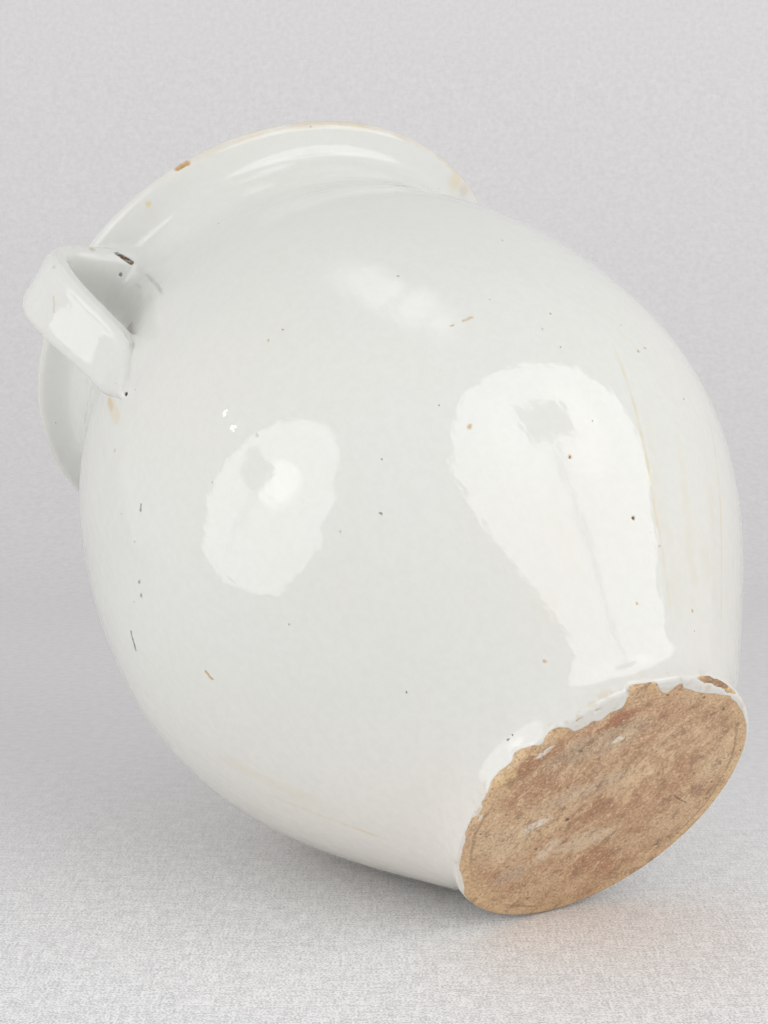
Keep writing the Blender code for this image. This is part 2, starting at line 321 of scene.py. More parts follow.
def make_body_glaze(material):
    top_run = foot_run[-1]
    verts = []
    ends = P([glaze_end(360.0 * j / FOOT_COLUMNS) for j in range(FOOT_COLUMNS)])
    # No step in the edge is steeper than the columns can follow
    for _ in range(3):
        ends = (np.roll(ends, 1) + 2.0 * ends + np.roll(ends, -1)) / 4.0
    for row in range(-2, FOOT_ROWS + 1):
        for j in range(FOOT_COLUMNS):
            deg = 360.0 * j / FOOT_COLUMNS
            end = ends[j]
            if row < 0:
                run = end + 0.10 * row
                lift = 0.10 if row == -1 else -EDGE_SUNK
            else:
                share = (row / FOOT_ROWS) ** 1.3
                run = end + (top_run - end) * share
                full = EDGE_SKIN + (SKIN - EDGE_SKIN) * smooth(run, -2.0, 6.0)
                lift = float(full * (0.62 + 0.38 * smooth(run - end, 0.0, 1.4)))
                lift -= (lift + EDGE_SUNK) * chipped(deg, run)
            verts.append(foot_point(run, deg, lift))
    faces = []
    for row in range(FOOT_ROWS + 2):
        faces += ring_faces(row * FOOT_COLUMNS, (row + 1) * FOOT_COLUMNS, FOOT_COLUMNS)
    seam = (FOOT_ROWS + 2) * FOOT_COLUMNS
    # Rows lie closer where the outline bends more
    line = skin_line[len(corner) - 1 :]
    lip_at = outer_count - len(corner) + 1 - len(lip)
    cove_at = lip_at - len(flare) - 8
    plain = even(line[: cove_at + 1], 2.4)
    cove = even(line[cove_at : lip_at + 1], 0.9)
    over = even(line[lip_at : lip_at + len(lip)], 0.6)
    mouth = even(line[lip_at + len(lip) - 1 : lip_at + len(lip) + 44], 1.2)
    rest = even(line[lip_at + len(lip) + 43 :], 4.0)
    line = np.concatenate([plain[1:], cove[1:], over[1:], mouth[1:], rest[1:-1]])
    first = len(verts)
    normals = -left_of(line)
    for (r, z), (nr, nz) in zip(line, normals):
        for j in range(BODY_COLUMNS):
            a = math.tau * j / BODY_COLUMNS
            c, s = math.cos(a), math.sin(a)
            lift = thrown(r * c, r * s, z) * float(smooth(z, 22.0, 45.0))
            verts.append(((r + nr * lift) * c, (r + nr * lift) * s, z + nz * lift))
    step = FOOT_COLUMNS // BODY_COLUMNS
    for j in range(BODY_COLUMNS):
        k = (j + 1) % BODY_COLUMNS
        low = [seam + (j * step + i) % FOOT_COLUMNS for i in range(step + 1)]
        faces.append(tuple(low + [first + k, first + j]))
    for row in range(len(line) - 1):
        low = first + row * BODY_COLUMNS
        faces += ring_faces(low, low + BODY_COLUMNS, BODY_COLUMNS)
    last = first + (len(line) - 1) * BODY_COLUMNS
    verts.append((0.0, 0.0, skin_line[-1][1]))
    faces += fan_faces(last, BODY_COLUMNS, len(verts) - 1)
    return new_piece("tin_glaze_body", verts, faces, material)


def base_relief(x, y):
    """Depth of the wheel marks and pits in the base, in millimetres."""
    r = math.hypot(x - 2.0, y + 1.5)
    wobble = fractal(x * 0.05, y * 0.05, 0.0) * 2.2
    rings = 0.5 + 0.5 * math.sin(math.tau * (r + wobble) / 4.3)
    grit = max(0.0, fractal(x * 0.22, y * 0.22, 5.0, 4))
    bowl = 0.5 * (1.0 - smooth(r, 25.0, 52.0))
    return float(0.07 * rings + 0.35 * grit + bowl)


def make_clay(material):
    radii = np.linspace(0.0, FOOT_R - FOOT_WEAR, BASE_RINGS)[1:]
    sides = np.concatenate([band, even(corner, 1.5)[1:]])
    rise = outside[len(corner) - 1 :]
    hidden = np.concatenate(
        [
            even(rise[:-50], 9.0)[1:],
            even(rise[-51:], 1.2)[1:],
            even(lip, 0.8)[1:],
            even(inside[:45], 1.6)[1:],
            even(inside[44:], 11.0)[1:-1],
        ]
    )
    line = np.concatenate([wear[1:], sides[1:], hidden])
    verts = [(0.0, 0.0, base_relief(0.0, 0.0))]
    for r in radii:
        keep = 1.0 - smooth(r, FOOT_R - 4.0, FOOT_R - FOOT_WEAR)
        for j in range(CLAY_COLUMNS):
            a = math.tau * j / CLAY_COLUMNS
            x, y = r * math.cos(a), r * math.sin(a)
            verts.append((x, y, base_relief(x, y) * float(keep)))
    for r, z in line:
        for j in range(CLAY_COLUMNS):
            a = math.tau * j / CLAY_COLUMNS
            verts.append((r * math.cos(a), r * math.sin(a), z))
    faces = [(k, j, tip) for j, k, tip in fan_faces(1, CLAY_COLUMNS, 0)]
    for row in range(len(radii) + len(line) - 1):
        low = 1 + row * CLAY_COLUMNS
        faces += ring_faces(low, low + CLAY_COLUMNS, CLAY_COLUMNS)
    verts.append((0.0, 0.0, FLOOR))
    last = len(verts) - 1 - CLAY_COLUMNS
    faces += fan_faces(last, CLAY_COLUMNS, len(verts) - 1)
    return new_piece("bare_clay_body", verts, faces, material)


# Strap handles, made on +X

def tapers(values, counts, powers):
    """Values from station to station along the strap; a power over 1 makes a change early."""
    parts = [[values[0]]]
    for first, final, count, power in zip(values, values[1:], counts, powers):
        share = np.arange(1, count + 1) / count
        parts.append(final + (first - final) * (1.0 - share) ** power)
    return np.concatenate(parts)


def strap_line():
    """Centre line in (radius, height), with the strap's width and thickness along it."""
    clay_outer = np.concatenate([outside, lip[1:]])
    high = clay_outer[clay_outer[:, 1] > BELLY_H]

    def radius_at(z):
        return float(np.interp(z, high[: len(upper), 1], high[: len(upper), 0]))

    root = P([RIM_R - ROOT_IN, RIM_H - ROOT_DROP])
    bow = P([RIM_R + BOW_OUT, RIM_H - BOW_DROP])
    seat = P([radius_at(SEAT_H), SEAT_H])
    tail = P([radius_at(TAIL_H) - TAIL_SUNK, TAIL_H])
    tail_way, drop_way = unit(tail - seat), unit(seat - bow)
    counts = n_arch, n_drop, n_tail, n_after = 64, 48, 24, 9
    arch = bezier(root, root + lean(ARCH_LEAN) * ARCH_PULL, bow + P([0.0, BOW_PULL]), bow, n_arch)
    seat_pull = (tail_way + drop_way) * SEAT_PULL
    drop = bezier(bow, bow - P([0.0, DROP_PULL]), seat - seat_pull, seat, n_drop)[1:]
    tails = seat + (tail - seat) * np.linspace(0.0, 1.0, n_tail + 1)[1:, None]
    after = tail + (tail_way + P([-2.0, 0.0])) * np.linspace(0.0, 5.0, n_after + 1)[1:, None]
    line = np.concatenate([arch, drop, tails, after])
    width = tapers(STRAP_WIDTHS, counts, WIDTH_POWERS) + 2 * SKIN
    thick = tapers(STRAP_THICKS, counts, THICK_POWERS) + 2 * SKIN
    return line, width, thick, n_arch


def strap_lengths(sides):
    """Lines along the strap's surface from root to tail, one for each side of its section."""
    line, width, thick, bow_at = strap_line()
    out = left_of(line)
    step = np.arange(len(line))
    # The pulling thumb's trough starts below the root and ends above the tail
    pulled = smooth(step, 20, 50) * (1.0 - smooth(step, 104, 128))
    lengths = []
    for k in range(sides):
        a = math.tau * k / sides
        c, s = math.cos(a), math.sin(a)
        across = math.copysign(abs(c) ** (2 / STRAP_SQUARE), c) * width / 2
        through = math.copysign(abs(s) ** (2 / STRAP_SQUARE), s) * thick / 2
        if s > 0.0:
            flat = min(1.0, s * 1.16) ** (2 / FACE_SQUARE) * thick / 2
            dip = TROUGH * math.exp(-((c / 0.62) ** 2))
            through = through + (flat - dip - through) * pulled
        place = line + out * through[:, None]
        lengths.append(np.stack([place[:, 0], across, place[:, 1]], axis=1))
    return np.array(lengths), bow_at


def at_run(points, run, marks):
    """Points of a line in space at marks along its run."""
    return np.stack([np.interp(marks, run, points[:, k]) for k in range(3)], axis=-1)


def on_body(points, depth):
    """The points brought to the glaze's outside and then sunk to a depth."""
    for _ in range(4):
        gap, out = body_distance(points)
        points = points - out * gap[:, None]
    _, out = body_distance(points)
    return points - out * depth


def around(values):
    """Values round a ring, each evened out with its neighbours."""
    return (np.roll(values, 1) + values + np.roll(values, -1)) / 3


def join_ends(lengths, runs, bow_at, way, reach, spread):
    """Rings of a fillet from the body to the strap, and the runs where the strap is clear of it.

    The way is 1 at the tail and -1 at the root. Reach and spread are functions of a point.
    """
    meets = []
    for points, run in zip(lengths, runs):
        order = range(bow_at, len(points)) if way > 0 else range(bow_at, -1, -1)
        away, _ = body_distance(points)
        last = bow_at
        for i in order:
            if away[i] <= 0.0:
                break
            last = i
        share = away[last] / (away[last] - away[i])
        meets.append(run[last] + (run[i] - run[last]) * share)
    meets = P(meets)
    loop = P([at_run(p, r, m) for p, r, m in zip(lengths, runs, meets)])
    _, out = body_distance(loop)
    tangent = np.roll(loop, -1, axis=0) - np.roll(loop, 1, axis=0)
    sideways = unit(np.cross(out, tangent))
    if ((loop - loop.mean(axis=0)) * sideways).sum() < 0.0:
        sideways = -sideways
    away = sideways * around(P([spread(p) for p in loop]))[:, None]
    foot = on_body(loop + away, 0.03)
    clear = meets - way * around(P([reach(p) for p in loop]))
    start = P([at_run(p, r, m) for p, r, m in zip(lengths, runs, clear)])
    # The fillet's edge dives under the glaze
    rings = [
        on_body(loop + away * 1.7, 1.4),
        on_body(loop + away * 1.4, 0.35),
        on_body(loop + away * 1.18, 0.10),
    ]
    for t in np.linspace(0.0, 1.0, 13)[:-1]:
        rings.append((1 - t) ** 2 * foot + 2 * t * (1 - t) * loop + t * t * start)
    return rings, clear


def make_strap(name, turn, material):
    sides = STRAP_SIDES
    lengths, bow_at = strap_lengths(sides)
    runs = [run_of(points) for points in lengths]

    # The root spreads less up under the lip
    def root_spread(p):
        return ROOT_SPREAD - ROOT_NARROWS * float(smooth(p[2], 276.0, 285.0))

    def root_reach(_):
        return ROOT_REACH

    # On one side the tail is smeared into the wall, less so up in the corner of the finger gap
    def smeared(p):
        return float(smooth(p[1], 0.2, 3.2) * (1.0 - 0.7 * smooth(p[1], 6.0, 10.5)))

    def tail_spread(p):
        return TAIL_SPREAD + SMEAR_SPREAD * smeared(p)

    def tail_reach(p):
        return TAIL_REACH + SMEAR_REACH * smeared(p)

    top, top_clear = join_ends(lengths, runs, bow_at, -1, root_reach, root_spread)
    end, end_clear = join_ends(lengths, runs, bow_at, 1, tail_reach, tail_spread)
    rings = list(top)
    for t in np.linspace(0.0, 1.0, STRAP_RINGS):
        marks = top_clear + (end_clear - top_clear) * t
        rings.append(P([at_run(p, r, m) for p, r, m in zip(lengths, runs, marks)]))
    rings += end[::-1]
    verts = []
    for i, ring in enumerate(rings):
        middle = ring.mean(axis=0)
        free = min(i, len(rings) - 1 - i)
        for p in ring:
            away = (p - middle) / max(np.linalg.norm(p - middle), 1e-6)
            lumps = 0.30 * noise.noise(Vector(p * 0.09)) + 0.10 * noise.noise(Vector(p * 0.23))
            verts.append(p + away * lumps * float(smooth(free, 6, 18)))
    faces = []
    for i in range(len(rings) - 1):
        faces += ring_faces(i * sides, (i + 1) * sides, sides)
    for ring_at, inner_point in ((0, ROOT_END), (len(verts) - sides, TAIL_END)):
        verts.append(P(inner_point))
        faces += fan_faces(ring_at, sides, len(verts) - 1)
    c, s = math.cos(turn), math.sin(turn)
    verts = P(verts) @ P([[c, s, 0.0], [-s, c, 0.0], [0.0, 0.0, 1.0]])
    obj = new_piece(name, verts, faces, material)
    work = bmesh.new()
    work.from_mesh(obj.data)
    bmesh.ops.recalc_face_normals(work, faces=work.faces)
    work.to_mesh(obj.data)
    work.free()
    obj.data.shade_smooth()
    return obj


def dent(obj, first, final, half, depth):
    """Press a pocket into a piece along a short line, all in millimetres."""
    start, end = Vector(first) * MM, Vector(final) * MM
    way = end - start
    reach = (half + 2.0) * MM

    def away(point):
        t = min(max((point - start).dot(way) / max(way.dot(way), 1e-12), 0.0), 1.0)
        return (point - start - way * t).length

    work = bmesh.new()
    work.from_mesh(obj.data)
    near = [f for f in work.faces if away(f.calc_center_median()) < reach + 0.001]
    edges = list({e for f in near for e in f.edges})
    bmesh.ops.subdivide_edges(work, edges=edges, cuts=4, use_grid_fill=True)
    work.normal_update()
    for vert in work.verts:
        share = 1.0 - float(smooth(away(vert.co) / MM, half * 0.35, half))
        if share > 0.0:
            vert.co -= vert.normal * depth * share * MM
    work.to_mesh(obj.data)
    work.free()
    obj.data.shade_smooth()


# Materials

class Nodes:
    """Short ways to write the nodes of a material or a lamp."""

    def __init__(self, tree):
        self.tree = tree

    @classmethod
    def material(cls, name):
        made = bpy.data.materials.new(name)
        made.use_nodes = True
        nodes = cls(made.node_tree)
        nodes.made = made
        nodes.shader = made.node_tree.nodes["Principled BSDF"]
        nodes.place = nodes.add("TexCoord").outputs["Object"]
        return nodes

    def add(self, kind, inputs=(), **settings):
        node = self.tree.nodes.new("ShaderNode" + kind)
        for key, value in settings.items():
            setattr(node, key, value)
        for key, value in dict(inputs).items():
            self.put(node.inputs[key], value)
        return node

    def put(self, socket, value):
        if isinstance(value, bpy.types.NodeSocket):
            self.tree.links.new(value, socket)
        else:
            socket.default_value = value

    def set(self, **values):
        """Values of the material's shader, an underscore standing for a space in a name."""
        for key, value in values.items():
            self.put(self.shader.inputs[key.replace("_", " ")], value)

    def math(self, operation, *values, clamp=False):
        node = self.add("Math", operation=operation, use_clamp=clamp)
        for i, value in enumerate(values):
            self.put(node.inputs[i], value)
        return node.outputs[0]

    def times(self, first, second):
        return self.math("MULTIPLY", first, second)

    def plus(self, first, second):
        return self.math("ADD", first, second)

    def vector(self, operation, *values, output="Vector"):
        node = self.add("VectorMath", operation=operation)
        for i, value in enumerate(values):
            self.put(node.inputs[i], value)
        return node.outputs[output]

    def noise(self, vector, scale, detail=3.0, roughness=0.55, output=0):
        inputs = {"Vector": vector, "Scale": scale, "Detail": detail, "Roughness": roughness}
        return self.add("TexNoise", inputs).outputs[output]

    def ramp(self, value, low, high, start=0.0, end=1.0):
        """A smooth change from start to end while the value goes from low to high."""
        inputs = {"Value": value, "From Min": low, "From Max": high, "To Min": start, "To Max": end}
        return self.add("MapRange", inputs, interpolation_type="SMOOTHSTEP").outputs[0]

    def mix(self, share, first, second):
        node = self.add("Mix", data_type="RGBA")
        for index, item in ((0, share), (6, first), (7, second)):
            if isinstance(item, tuple):
                item = (*item, 1.0)
            self.put(node.inputs[index], item)
        return node.outputs[2]

    def stretch(self, vector, scale):
        return self.add("Mapping", {"Vector": vector, "Scale": scale}).outputs[0]

    def dot(self, vector, way):
        return self.vector("DOT_PRODUCT", vector, way, output="Value")

    def axis_distance(self):
        flat = self.vector("MULTIPLY", self.place, (1.0, 1.0, 0.0))
        return self.vector("LENGTH", flat, output="Value")

    def dots(self, scale, size, rarity):
        """Round specks scattered in cells, as a share from 0 to 1."""
        node = self.add("TexVoronoi", {"Vector": self.place, "Scale": scale})
        near = self.ramp(node.outputs["Distance"], size * 0.55, size, 1.0, 0.0)
        pick = self.dot(node.outputs["Color"], (1.0, 0.0, 0.0))
        return self.times(near, self.ramp(pick, rarity, rarity + 0.02))

    def bump(self, height, distance, strength=1.0, under=None):
        inputs = {"Height": height, "Distance": distance, "Strength": strength}
        if under is not None:
            inputs["Normal"] = under
        return self.add("Bump", inputs).outputs[0]


# Colours of the marks in the glaze, the slit's and the strap gap's with painted shade, and the
# brightest that still reads as a hole
YELLOW, TAN, BROWN = (0.70, 0.56, 0.28), (0.52, 0.31, 0.11), (0.26, 0.13, 0.05)
# The slit's colour is clay with painted shade in it
DARK, SLIT_CLAY_AND_SHADE = (0.07, 0.045, 0.03), (0.22, 0.12, 0.05)
# The strap gap's colour is painted shade on the wall under a strap
STAIN, STRAP_GAP_SHADE = (0.60, 0.42, 0.17), (0.40, 0.35, 0.25)
BRUISE, MOSS = (0.45, 0.42, 0.36), (0.42, 0.36, 0.16)
HOLE_TONE = 0.30
# Runs on the glaze: azimuth in degrees, lowest and highest point and half width in millimetres,
# colour and strength
RUNS = (
    (259.2, 12.0, 112.0, 1.1, YELLOW, 0.42),
    (261.5, 10.0, 90.0, 5.0, YELLOW, 0.09),
    (270.0, 18.0, 84.0, 4.0, YELLOW, 0.13),
    (285.5, 14.0, 98.0, 0.9, YELLOW, 0.40),
    (281.0, 20.0, 70.0, 3.0, YELLOW, 0.10),
    (135.0, 20.0, 66.0, 1.4, YELLOW, 0.45),
    (140.0, 40.0, 90.0, 5.0, YELLOW, 0.12),
)
# Spots on the glaze: place and radius in millimetres, colour and strength
SPOTS = (
    # The first two spots are painted shade in the pinhole and in the hole at the tail's tip, both
    # dented in
    (-104.9, -13.9, 271.8, 1.0, DARK, 0.9), (-126.2, -1.1, 193.2, 0.9, DARK, 0.95),
    (-122.8, -36.5, 121.7, 1.3, BRUISE, 0.6), (-50.1, -90.7, 66.6, 1.4, TAN, 0.75),
    (-50.1, -90.7, 66.6, 0.8, BROWN, 0.7), (-27.6, -85.5, 47.0, 1.4, TAN, 0.6),
    (-27.6, -85.5, 47.0, 0.9, DARK, 0.9), (-79.9, -81.4, 84.0, 1.2, TAN, 0.85),
    (-114.0, -63.5, 152.1, 0.9, TAN, 0.8), (-117.0, -57.8, 151.9, 0.8, TAN, 0.7),
    (-79.7, -99.9, 119.3, 0.9, TAN, 0.8), (-46.0, -118.4, 116.9, 1.0, TAN, 0.85),
    (-51.6, -114.1, 110.3, 0.8, TAN, 0.7), (-10.3, -122.7, 104.2, 1.2, TAN, 0.8),
    (-5.0, -124.0, 106.9, 1.0, TAN, 0.7), (11.2, -117.1, 91.0, 1.1, TAN, 0.8),
    (-16.7, -82.2, 39.1, 0.9, TAN, 0.6), (-27.1, -66.8, 24.0, 1.0, TAN, 0.8),
    (-1.6, -70.8, 22.4, 1.0, TAN, 0.8), (-54.9, -39.9, 18.6, 1.1, TAN, 0.7),
    (-124.0, 37.6, 129.3, 1.1, BROWN, 0.7), (-122.4, 40.8, 126.2, 1.0, BROWN, 0.7),
    (-127.5, 15.5, 179.1, 1.1, TAN, 0.6), (-88.2, -55.8, 255.8, 0.7, DARK, 0.8),
    (-85.8, -98.6, 150.0, 0.8, BROWN, 0.6), (-99.2, -45.3, 75.2, 0.9, DARK, 0.7),
    (-106.2, -32.7, 78.8, 0.8, TAN, 0.6), (-81.0, -5.3, 35.4, 0.7, DARK, 0.7),
    (-58.7, -16.1, 7.6, 0.6, DARK, 0.8), (-59.1, -14.3, 7.5, 0.5, BROWN, 0.8),
    (-103.2, -42.7, 283.8, 2.2, YELLOW, 0.7), (28.8, -107.7, 283.8, 7.0, YELLOW, 0.40),
    (36.4, -106.2, 284.2, 5.0, TAN, 0.25), (-118.0, -17.1, 279.3, 2.4, MOSS, 0.55),
    (-139.7, -11.4, 261.3, 1.6, TAN, 0.35), (-41.8, -123.2, 162.8, 0.8, BROWN, 0.5),
    (-65.0, -111.6, 126.4, 0.8, TAN, 0.7), (-96.4, -62.2, 287.5, 1.3, BROWN, 0.8),
)
# Strokes on the glaze: two ends and half width in millimetres, colour and strength
STROKES = (
    # The slit by the left strap's root: clay colour with painted shade in its dented pocket
    ((-107.9, -19.2, 277.4), (-102.2, -19.7, 273.2), 1.15, SLIT_CLAY_AND_SHADE, 0.96),
    ((-97.6, -60.4, 287.6), (-95.3, -64.0, 287.4), 1.9, TAN, 0.95),
    ((-115.0, 59.1, 128.1), (-111.7, 63.7, 124.0), 0.7, DARK, 0.7),
    ((-109.3, 41.9, 89.5), (-107.6, 42.3, 86.7), 0.8, TAN, 0.8),
    ((-129.7, 15.6, 145.5), (-129.5, 17.4, 144.0), 0.6, DARK, 0.6),
    ((-123.0, 9.9, 206.0), (-126.4, 8.2, 190.0), 3.2, YELLOW, 0.34),
    ((-122.8, 9.9, 206.0), (-124.6, 9.3, 199.0), 1.7, STAIN, 0.42),
    ((-138.5, -3.3, 251.9), (-137.4, 1.2, 248.1), 0.8, TAN, 0.28),
    # Painted shade on the wall in the gap under the left strap, by its tail
    ((-115.8, -8.5, 224.0), (-112.5, -8.0, 236.0), 3.6, STRAP_GAP_SHADE, 0.62),
    ((-73.2, -104.9, 120.1), (-76.0, -102.8, 119.8), 0.7, TAN, 0.5),
)


def glaze_material():
    n = Nodes.material("tin_glaze_white")
    place = n.place
    height = n.add("SeparateXYZ", {"Vector": place}).outputs[2]
    patches = n.ramp(n.noise(place, 7.0, 4.0), 0.36, 0.66)
    colour = n.mix(patches, (0.742, 0.755, 0.714), (0.758, 0.752, 0.702))
    # Cooler and greyer towards the neck, creamier towards the foot
    grey = n.times(n.ramp(height, 0.120, 0.235),
                   n.ramp(n.noise(place, 12.0, 2.0), 0.30, 0.70, 0.25, 0.8))
    colour = n.mix(grey, colour, (0.700, 0.712, 0.690))
    cream = n.times(n.ramp(height, 0.110, 0.030),
                    n.ramp(n.noise(place, 14.0, 3.0), 0.38, 0.62, 0.1, 0.65))
    colour = n.mix(cream, colour, (0.746, 0.728, 0.672))
    # Warmer and lighter on the side that it lies on: a warm tint in the glaze, and painted light
    # standing in for the bounce off the linen
    under = n.times(n.ramp(n.dot(place, FLOOR_UP), 0.075, -0.030),
                    n.ramp(n.noise(place, 9.0, 3.0), 0.30, 0.70, 0.55, 1.0))
    colour = n.mix(under, colour, (0.840, 0.802, 0.738))
    # Faint runs down the wall, here and there
    runs = n.noise(n.stretch(place, (1.0, 1.0, 0.07)), 46.0, 4.0, 0.6)
    where = n.ramp(n.noise(place, 5.0, 2.0), 0.42, 0.64)
    run_share = n.times(n.ramp(runs, 0.56, 0.74, 0.0, 0.28), where)
    colour = n.mix(run_share, colour, (0.70, 0.63, 0.46))
    # Lip worn along its outer edge, more on the side away from the straps
    radius = n.axis_distance()
    worn = n.ramp(n.noise(place, 60.0, 4.0), 0.34, 0.60, 0.25, 1.0)
    side = n.ramp(n.dot(place, (0.26, -0.97, 0.0)), 0.0, 0.112, 0.10, 0.50)
    edge = n.times(n.ramp(radius, 0.1128, 0.1150), n.ramp(radius, 0.1155, 0.1162, 1.0, 0.0))
    clear = n.ramp(n.math("ABSOLUTE", n.dot(place, (0.0, 1.0, 0.0))), 0.022, 0.032)
    edge = n.times(n.times(edge, clear), n.ramp(height, 0.276, 0.282))
    colour = n.mix(n.times(edge, n.times(worn, side)), colour, (0.62, 0.45, 0.23))
    # Clay stains beside the chipped foot
    stain = n.times(n.ramp(height, 0.0060, 0.0, 0.0, 0.35),
                    n.ramp(n.noise(place, 240.0, 4.0), 0.54, 0.64))
    colour = n.mix(stain, colour, (0.60, 0.44, 0.24))
    # Faint unevenness of the glaze's white
    cloud = n.noise(place, 300.0, 4.0, 0.65)
    colour = n.mix(n.ramp(cloud, 0.36, 0.64, 0.0, 0.30), colour, (0.690, 0.690, 0.648))
    # Specks, then the runs that stand out
    fine = n.dots(150.0, 0.055, 0.82)
    coarse = n.dots(42.0, 0.030, 0.84)
    colour = n.mix(n.times(fine, 0.55), colour, (0.28, 0.20, 0.12))
    colour = n.mix(n.times(coarse, 0.65), colour, TAN)
    wander = n.noise(place, 70.0, 2.0)
    broken = n.ramp(n.noise(place, 95.0, 3.0), 0.36, 0.56, 0.35, 1.0)
    for azimuth, low, high, half, tint, strength in RUNS:
        c, s = cos_sin(azimuth)
        side = n.dot(place, (-s, c, 0.0))
        waver = n.math("MULTIPLY_ADD", wander, half * 1.6 * MM, -half * 0.8 * MM)
        off = n.math("ABSOLUTE", n.plus(side, waver))
        near = n.ramp(off, half * 0.2 * MM, half * MM, 1.0, 0.0)
        ease = (high - low) * 0.25
        begin = n.ramp(height, low * MM, (low + ease) * MM)
        end = n.ramp(height, (high - ease) * MM, high * MM, 1.0, 0.0)
        front = n.math("GREATER_THAN", n.dot(place, (c, s, 0.0)), 0.0)
        share = n.times(n.times(near, front), n.times(begin, end))
        colour = n.mix(n.times(n.times(share, broken), strength), colour, tint)
    # Edges of spots waver, because the place is shifted by a fine noise
    grain = n.noise(place, 520.0, 2.0, 0.5, "Color")
    shift = n.vector("SUBTRACT", grain, (0.5, 0.5, 0.5))
    shaken = n.vector("MULTIPLY_ADD", shift, (0.0018, 0.0018, 0.0018), place)
    pits = n.plus(fine, coarse)
    for x, y, z, radius, tint, strength in SPOTS:
        far = n.vector("DISTANCE", shaken, (x * MM, y * MM, z * MM), output="Value")
        share = n.ramp(far, radius * 0.2 * MM, radius * 0.95 * MM, strength, 0.0)
        colour = n.mix(share, colour, tint)
        if max(tint) < HOLE_TONE:
            pits = n.plus(pits, share)
    for first, final, half, tint, strength in STROKES:
        start, way = P(first) * MM, (P(final) - P(first)) * MM
        off = n.vector("SUBTRACT", shaken, tuple(start))
        along = n.math("ADD", n.dot(off, tuple(way / (way @ way))), 0.0, clamp=True)
        far = n.vector("DISTANCE", off, n.vector("MULTIPLY", tuple(way), along), output="Value")
        share = n.ramp(far, half * 0.45 * MM, half * 1.1 * MM, strength, 0.0)
        colour = n.mix(share, colour, tint)
        if max(tint) < HOLE_TONE:
            pits = n.plus(pits, share)
    n.set(Base_Color=colour)
    # Glossy all over, but dull in the holes
    gloss = n.ramp(n.noise(place, 35.0, 2.0), 0.3, 0.7, 0.018, 0.045)
    n.set(Roughness=n.math("MULTIPLY_ADD", pits, 0.6, gloss, clamp=True))
    n.set(Specular_IOR_Level=n.ramp(pits, 0.1, 0.8, 0.5, 0.0))
    n.set(IOR=1.75)
    drips = n.noise(n.stretch(place, (1.0, 1.0, 0.10)), 120.0, 2.0)
    rings = n.times(n.noise(n.stretch(place, (0.02, 0.02, 1.0)), 300.0, 2.0),
                    n.ramp(height, 0.195, 0.235))
    soft = n.bump(drips, 0.00016)
    soft = n.bump(rings, 0.00012, 1.0, soft)
    soft = n.bump(n.noise(place, 150.0, 3.0), 0.00009, 1.0, soft)
    n.set(Normal=n.bump(pits, -0.0004, 1.0, soft))
    return n.made


# Patches on the base: middle, half length and half width in millimetres, angle in degrees, strength
# and colour
PATCHES = (
    (-38.0, -2.0, 17.0, 12.0, -50.0, 0.7, (0.5, 0.29, 0.174)),
    (20.0, -12.0, 23.0, 17.0, 20.0, 0.75, (0.53, 0.31, 0.185)),
    (-28.0, -24.0, 27.0, 9.0, -36.0, 0.6, (0.51, 0.405, 0.29)),
    (-50.5, -12.5, 14.0, 6.0, -56.0, 0.75, (0.43, 0.215, 0.12)),
    (-29.0, -35.5, 14.0, 3.6, -40.0, 0.85, (0.43, 0.185, 0.105)),
    (-1.0, 4.5, 12.0, 7.0, -26.0, 0.8, (0.45, 0.25, 0.152)),
    (22.0, 29.0, 19.0, 10.0, -11.0, 0.8, (0.505, 0.275, 0.158)),
    (44.0, -12.0, 7.0, 5.0, -30.0, 0.75, (0.39, 0.235, 0.155)),
    (-33.0, 25.0, 16.0, 12.0, 5.0, 0.75, (0.72, 0.54, 0.355)),
    (4.7, -14.0, 12.0, 6.5, -28.0, 0.85, (0.8, 0.59, 0.375)),
    (8.0, 19.0, 17.0, 7.0, -27.0, 0.8, (0.74, 0.59, 0.415)),
    (-15.0, -3.0, 21.0, 5.0, -38.0, 0.65, (0.61, 0.48, 0.355)),
    (41.0, -24.0, 8.0, 7.0, -17.0, 0.75, (0.75, 0.57, 0.365)),
    (-16.0, 39.0, 10.0, 5.0, -33.0, 0.5, (0.52, 0.41, 0.32)),
    (-57.0, -4.0, 5.0, 3.0, -54.0, 0.9, (0.78, 0.56, 0.3)),
    (-41.0, -39.5, 8.0, 3.0, -44.0, 0.85, (0.78, 0.58, 0.32)),
    (6.0, -59.0, 13.0, 2.4, 0.0, 0.9, (0.33, 0.19, 0.105)),
    (-24.0, 14.5, 7.6, 3.2, -50.0, 0.95, (0.87, 0.8, 0.69)),
    (-8.0, 26.5, 8.5, 3.4, -84.0, 0.7, (0.84, 0.72, 0.58)),
    (-49.7, -17.5, 4.8, 1.7, -62.0, 0.95, (0.87, 0.81, 0.72)),
    (-19.5, -27.8, 3.2, 1.7, -30.0, 0.9, (0.85, 0.79, 0.71)),
    (-54.1, 13.9, 2.0, 1.0, 80.0, 0.9, (0.86, 0.8, 0.7)),
    (-42.8, 1.0, 4.0, 0.5, -66.0, 0.6, (0.84, 0.74, 0.6)),
    (38.5, -5.6, 6.4, 0.5, 14.0, 0.85, (0.2, 0.13, 0.09)),
    (47.5, 17.4, 2.6, 0.6, -25.0, 0.85, (0.2, 0.14, 0.1)),
    (-11.4, 10.5, 1.4, 0.9, -20.0, 0.95, (0.11, 0.08, 0.065)),
    (-33.1, -20.1, 1.5, 0.9, 10.0, 0.75, (0.18, 0.14, 0.125)),
    (19.0, -48.9, 1.6, 0.8, 20.0, 0.8, (0.13, 0.15, 0.07)),
    (33.5, -43.6, 1.3, 0.9, 40.0, 0.75, (0.14, 0.16, 0.08)),
    (2.0, 49.9, 1.0, 0.8, 0.0, 0.8, (0.15, 0.1, 0.07)),
)


